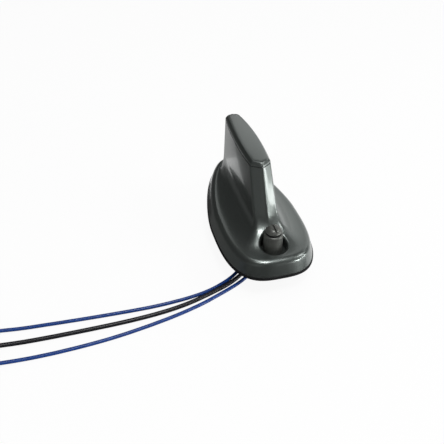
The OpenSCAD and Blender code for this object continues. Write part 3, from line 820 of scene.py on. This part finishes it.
def newGroup(name, inputs, outputs):
    group = bpy.data.node_groups.new(name, "ShaderNodeTree")
    for label, value in inputs.items():
        socket = group.interface.new_socket(name=label, in_out="INPUT", socket_type="NodeSocketFloat")
        socket.default_value = value
    for label in outputs:
        group.interface.new_socket(name=label, in_out="OUTPUT", socket_type="NodeSocketFloat")
    return group, group.nodes.new("NodeGroupInput"), group.nodes.new("NodeGroupOutput")


def makeSoftMarks():
    # large soft changes of a value, as from handling and from moulding
    group, start, end = newGroup("softMarks", {"Scale": 60, "Low": 0.3, "High": 0.4}, ["Value"])
    nodes, link = group.nodes, group.links.new
    place = nodes.new("ShaderNodeTexCoord")
    noise = nodes.new("ShaderNodeTexNoise")
    noise.inputs["Detail"].default_value = 4
    spread = nodes.new("ShaderNodeMapRange")
    spread.inputs["From Min"].default_value = 0.3
    spread.inputs["From Max"].default_value = 0.7
    link(place.outputs["Object"], noise.inputs["Vector"])
    link(start.outputs["Scale"], noise.inputs["Scale"])
    link(noise.outputs["Fac"], spread.inputs["Value"])
    link(start.outputs["Low"], spread.inputs["To Min"])
    link(start.outputs["High"], spread.inputs["To Max"])
    link(spread.outputs["Result"], end.inputs["Value"])
    return group


def makeFineGrain():
    # the even fine grain of moulded, cast and plated faces
    group, start, end = newGroup("fineGrain", {"Scale": 2500, "Amount": 1.0}, ["Height"])
    nodes, link = group.nodes, group.links.new
    place = nodes.new("ShaderNodeTexCoord")
    noise = nodes.new("ShaderNodeTexNoise")
    noise.inputs["Detail"].default_value = 3
    noise.inputs["Roughness"].default_value = 0.6
    size = nodes.new("ShaderNodeMath")
    size.operation = "MULTIPLY"
    link(place.outputs["Object"], noise.inputs["Vector"])
    link(start.outputs["Scale"], noise.inputs["Scale"])
    link(noise.outputs["Fac"], size.inputs[0])
    link(start.outputs["Amount"], size.inputs[1])
    link(size.outputs["Value"], end.inputs["Height"])
    return group


def makeFlakes():
    # the small metal flakes in the paint, each turned its own way
    group, start, end = newGroup("paintFlakes", {"Scale": 7000, "Amount": 1.0}, ["Mask"])
    nodes, link = group.nodes, group.links.new
    place = nodes.new("ShaderNodeTexCoord")
    cells = nodes.new("ShaderNodeTexVoronoi")
    split = nodes.new("ShaderNodeSeparateColor")
    size = nodes.new("ShaderNodeMath")
    size.operation = "MULTIPLY"
    link(place.outputs["Object"], cells.inputs["Vector"])
    link(start.outputs["Scale"], cells.inputs["Scale"])
    link(cells.outputs["Color"], split.inputs["Color"])
    link(split.outputs["Red"], size.inputs[0])
    link(start.outputs["Amount"], size.inputs[1])
    link(size.outputs["Value"], end.inputs["Mask"])
    return group


softMarks = makeSoftMarks()
fineGrain = makeFineGrain()
paintFlakes = makeFlakes()

toneMarks = 2.3  # how much finer the marks in the colour are than those in the roughness
# colour and second colour, metal share, roughness from and to, scale of the marks, scale of the grain and
# its depth in millimetres
finishes = {
    "paint": {
        "colour": (0.15, 0.168, 0.16), "second": (0.19, 0.212, 0.202), "metal": 0.9, "rough": (0.31, 0.34),
        "marks": 40, "grain": 900, "depth": 0.002, "coat": 0.5, "coatRough": 0.09},
    "seal_rubber": {
        "colour": (0.006, 0.006, 0.007), "second": (0.01, 0.01, 0.011), "metal": 0, "rough": (0.7, 0.8),
        "marks": 90, "grain": 2600, "depth": 0.02, "specular": 0.2},
    "cast_alloy": {
        "colour": (0.5, 0.51, 0.52), "second": (0.6, 0.6, 0.61), "metal": 1, "rough": (0.38, 0.55),
        "marks": 140, "grain": 1700, "depth": 0.03},
    "plated_steel": {
        "colour": (0.58, 0.57, 0.54), "second": (0.66, 0.65, 0.62), "metal": 1, "rough": (0.22, 0.36),
        "marks": 160, "grain": 2400, "depth": 0.006},
    "brass_metal": {
        "colour": (0.72, 0.53, 0.22), "second": (0.8, 0.62, 0.3), "metal": 1, "rough": (0.2, 0.34),
        "marks": 180, "grain": 2400, "depth": 0.005},
    "board_green": {
        "colour": (0.02, 0.13, 0.055), "second": (0.03, 0.17, 0.075), "metal": 0, "rough": (0.3, 0.42),
        "marks": 120, "grain": 1500, "depth": 0.01},
    "patch_ceramic": {
        "colour": (0.62, 0.57, 0.46), "second": (0.7, 0.66, 0.55), "metal": 0, "rough": (0.55, 0.7),
        "marks": 300, "grain": 2000, "depth": 0.01},
    "tin_metal": {
        "colour": (0.66, 0.66, 0.67), "second": (0.74, 0.74, 0.74), "metal": 1, "rough": (0.26, 0.42),
        "marks": 200, "grain": 2200, "depth": 0.006},
    "socket_plastic": {
        "colour": (0.13, 0.135, 0.125), "second": (0.16, 0.166, 0.154), "metal": 0.65, "rough": (0.38, 0.42),
        "marks": 150, "grain": 3200, "depth": 0.006},
    "blue_jacket": {
        "colour": (0.004, 0.035, 0.19), "second": (0.006, 0.05, 0.25), "metal": 0, "rough": (0.32, 0.42),
        "marks": 90, "grain": 2600, "depth": 0.006},
    "black_jacket": {
        "colour": (0.006, 0.006, 0.009), "second": (0.011, 0.011, 0.015), "metal": 0, "rough": (0.32, 0.44),
        "marks": 90, "grain": 2600, "depth": 0.006},
    "blue_housing": {
        "colour": (0.006, 0.05, 0.27), "second": (0.009, 0.065, 0.33), "metal": 0, "rough": (0.4, 0.5),
        "marks": 110, "grain": 2000, "depth": 0.012},
    "black_housing": {
        "colour": (0.012, 0.012, 0.013), "second": (0.018, 0.018, 0.02), "metal": 0, "rough": (0.4, 0.5),
        "marks": 110, "grain": 2000, "depth": 0.012},
    "pale_housing": {
        "colour": (0.52, 0.48, 0.38), "second": (0.58, 0.54, 0.44), "metal": 0, "rough": (0.4, 0.52),
        "marks": 110, "grain": 2000, "depth": 0.012},
}


def makeFinish(name, look):
    material = bpy.data.materials.new(name)
    material.use_nodes = True
    nodes, link = material.node_tree.nodes, material.node_tree.links.new
    nodes.clear()
    shader = nodes.new("ShaderNodeBsdfPrincipled")
    output = nodes.new("ShaderNodeOutputMaterial")
    link(shader.outputs["BSDF"], output.inputs["Surface"])
    shader.inputs["Metallic"].default_value = look["metal"]

    rough = nodes.new("ShaderNodeGroup")
    rough.node_tree = softMarks
    rough.inputs["Scale"].default_value = look["marks"]
    rough.inputs["Low"].default_value, rough.inputs["High"].default_value = look["rough"]
    link(rough.outputs["Value"], shader.inputs["Roughness"])

    tone = nodes.new("ShaderNodeMix")
    tone.data_type = "RGBA"
    tone.inputs["A"].default_value = (*look["colour"], 1)
    tone.inputs["B"].default_value = (*look["second"], 1)
    if name == "paint":
        flakes = nodes.new("ShaderNodeGroup")
        flakes.node_tree = paintFlakes
        link(flakes.outputs["Mask"], tone.inputs["Factor"])
    else:
        marks = nodes.new("ShaderNodeGroup")
        marks.node_tree = softMarks
        marks.inputs["Scale"].default_value = look["marks"] * toneMarks
        marks.inputs["Low"].default_value, marks.inputs["High"].default_value = 0, 1
        link(marks.outputs["Value"], tone.inputs["Factor"])
    link(tone.outputs["Result"], shader.inputs["Base Color"])

    grain = nodes.new("ShaderNodeGroup")
    grain.node_tree = fineGrain
    grain.inputs["Scale"].default_value = look["grain"]
    bump = nodes.new("ShaderNodeBump")
    bump.inputs["Distance"].default_value = look["depth"] * mm
    link(grain.outputs["Height"], bump.inputs["Height"])
    link(bump.outputs["Normal"], shader.inputs["Normal"])

    if "specular" in look:
        shader.inputs["Specular IOR Level"].default_value = look["specular"]
    if "coat" in look:
        shader.inputs["Coat Weight"].default_value = look["coat"]
        shader.inputs["Coat Roughness"].default_value = look["coatRough"]
    return material


materials = {name: makeFinish(name, look) for name, look in finishes.items()}


def wear(piece, name):
    piece.data.materials.clear()
    piece.data.materials.append(materials[name])


for nodeName, node in frame["nodes"].items():
    wear(node, slotOf[nodeName])
for piece, slot in dressed:
    wear(piece, slot)
print("finishes given")


white = (1, 1, 1, 1)


def glowFinish(name, strength):
    material = bpy.data.materials.new(name)
    material.use_nodes = True
    nodes, link = material.node_tree.nodes, material.node_tree.links.new
    nodes.clear()
    glow = nodes.new("ShaderNodeEmission")
    glow.inputs["Color"].default_value = white
    glow.inputs["Strength"].default_value = strength
    output = nodes.new("ShaderNodeOutputMaterial")
    link(glow.outputs["Emission"], output.inputs["Surface"])
    return material


def seenRays(nodes, link):
    # one where the camera, a reflection or a clear piece looks at the surface
    rays = nodes.new("ShaderNodeLightPath")
    total = nodes.new("ShaderNodeMath")
    total.operation = "MAXIMUM"
    both = nodes.new("ShaderNodeMath")
    both.operation = "MAXIMUM"
    link(rays.outputs["Is Camera Ray"], total.inputs[0])
    link(rays.outputs["Is Glossy Ray"], total.inputs[1])
    link(total.outputs["Value"], both.inputs[0])
    link(rays.outputs["Is Transmission Ray"], both.inputs[1])
    return both.outputs["Value"]


studio = {"floorSize": 10, "floorGap": 0.02, "floorGlow": 0.92, "floorTone": 0.9, "ambient": 0.35}


def makeFloor(setup):
    clearSelection()
    height = floorHeight - setup["floorGap"] * mm
    bpy.ops.mesh.primitive_plane_add(size=setup["floorSize"], location=(0, 0, height))
    floor = bpy.context.object
    floor.name = "floor"
    material = bpy.data.materials.new("floorWhite")
    material.use_nodes = True
    nodes, link = material.node_tree.nodes, material.node_tree.links.new
    nodes.clear()
    paper = nodes.new("ShaderNodeBsdfDiffuse")
    paper.inputs["Color"].default_value = (setup["floorTone"], setup["floorTone"], setup["floorTone"], 1)
    glow = nodes.new("ShaderNodeEmission")
    glow.inputs["Color"].default_value = white
    share = nodes.new("ShaderNodeMath")
    share.operation = "MULTIPLY"
    share.inputs[1].default_value = setup["floorGlow"]
    blend = nodes.new("ShaderNodeMixShader")
    output = nodes.new("ShaderNodeOutputMaterial")
    link(seenRays(nodes, link), share.inputs[0])
    link(share.outputs["Value"], blend.inputs["Fac"])
    link(paper.outputs["BSDF"], blend.inputs[1])
    link(glow.outputs["Emission"], blend.inputs[2])
    link(blend.outputs["Shader"], output.inputs["Surface"])
    floor.data.materials.append(material)


def makeWorld(setup):
    world = bpy.data.worlds.new("studio")
    bpy.context.scene.world = world
    world.use_nodes = True
    nodes, link = world.node_tree.nodes, world.node_tree.links.new
    nodes.clear()
    ambient = nodes.new("ShaderNodeBackground")
    ambient.inputs["Color"].default_value = white
    ambient.inputs["Strength"].default_value = setup["ambient"]
    bright = nodes.new("ShaderNodeBackground")
    bright.inputs["Color"].default_value = white
    blend = nodes.new("ShaderNodeMixShader")
    output = nodes.new("ShaderNodeOutputWorld")
    link(seenRays(nodes, link), blend.inputs["Fac"])
    link(ambient.outputs["Background"], blend.inputs[1])
    link(bright.outputs["Background"], blend.inputs[2])
    link(blend.outputs["Shader"], output.inputs["Surface"])


# cards and the tent show in reflections only: corners and height in millimetres, and glow
cards = {
    "cardFront": {
        "corners": [(-300, -75), (90, -75), (500, -3000), (-3000, -3000)],
        "height": -14.5, "glow": 0.05},
    "cardLeft": {
        "corners": [(-3000, -300), (-42, -300), (-42, 3000), (-3000, 3000)],
        "height": -14.6, "glow": 0.12},
    "cardBeside": {
        "corners": [(-46, -300), (-20, -75), (-20, 100), (-46, 60)],
        "height": -14.4, "glow": 0.03},
    "cardBehind": {
        "corners": [(-42, 115), (60, 115), (400, 3000), (-42, 3000)],
        "height": -14.5, "glow": 0.6},
}


def onlyReflected(piece):
    piece.visible_camera = piece.visible_diffuse = piece.visible_shadow = False
    piece.visible_transmission = piece.visible_volume_scatter = False


def makeCard(name, card):
    clearSelection()
    bpy.ops.mesh.primitive_plane_add(size=1)
    plane = bpy.context.object
    plane.name = name
    order = (0, 1, 3, 2)  # a plane's corners run row by row
    places = []
    for index in order:
        x, y = card["corners"][index]
        places += [x * mm, y * mm, card["height"] * mm]
    plane.data.vertices.foreach_set("co", places)
    plane.data.update()
    plane.data.materials.append(glowFinish(name, card["glow"]))
    onlyReflected(plane)


tent = {"radius": 3.0, "glow": 0.045}


def makeTent(setup):
    clearSelection()
    bpy.ops.mesh.primitive_uv_sphere_add(segments=48, ring_count=24, radius=setup["radius"])
    dome = bpy.context.object
    dome.name = "tent"
    dome.data.materials.append(glowFinish("tentGrey", setup["glow"]))
    onlyReflected(dome)


# place and aim in metres, size in metres, brightness as the lamp's own face shows it
lamps = {
    "overhead": {"place": (0.0, 0.16, 1.35), "aim": (0, 0, 0), "size": (0.2, 0.35), "bright": 5},
    "overFront": {"place": (0.02, -0.45, 1.25), "aim": (0, 0, 0), "size": (0.36, 0.36), "bright": 16},
    "cornerLight": {"place": (0.77, -0.85, 0.12), "aim": (0, -0.06, 0), "size": (0.28, 0.1), "bright": 36},
    "rightMid": {"place": (0.85, -0.28, 0.8), "aim": (0, -0.05, 0), "size": (0.35, 0.35), "bright": 6},
    "rightFar": {"place": (1.9, 1.4, 0.3), "aim": (0, 0, 0), "size": (2.2, 0.8), "bright": 0.55},
    "leftFill": {"place": (-0.9, -1.3, 0.4), "aim": (0, 0, 0.03), "size": (1.4, 0.9), "bright": 0.15},
    "rightStrip": {"place": (1.05, -0.42, 0.16), "aim": (0, -0.02, 0.03), "size": (0.26, 0.18), "bright": 12},
    "farPanel": {"place": (1.45, 1.65, 1.3), "aim": (0.1, 0, 0), "size": (2.7, 1.5), "bright": 0.76},
}


def makeLamp(name, lamp):
    light = bpy.data.lights.new(name, "AREA")
    light.shape = "RECTANGLE"
    light.size, light.size_y = lamp["size"]
    light.energy = lamp["bright"] * math.pi * light.size * light.size_y
    bulb = bpy.data.objects.new(name, light)
    bpy.context.scene.collection.objects.link(bulb)
    bulb.location = lamp["place"]
    bulb.rotation_mode = "QUATERNION"
    bulb.rotation_quaternion = (Vector(lamp["place"]) - Vector(lamp["aim"])).to_track_quat("Z", "Y")


makeFloor(studio)
makeWorld(studio)
makeTent(tent)
for name, card in cards.items():
    makeCard(name, card)
for name, lamp in lamps.items():
    makeLamp(name, lamp)
print("studio set")
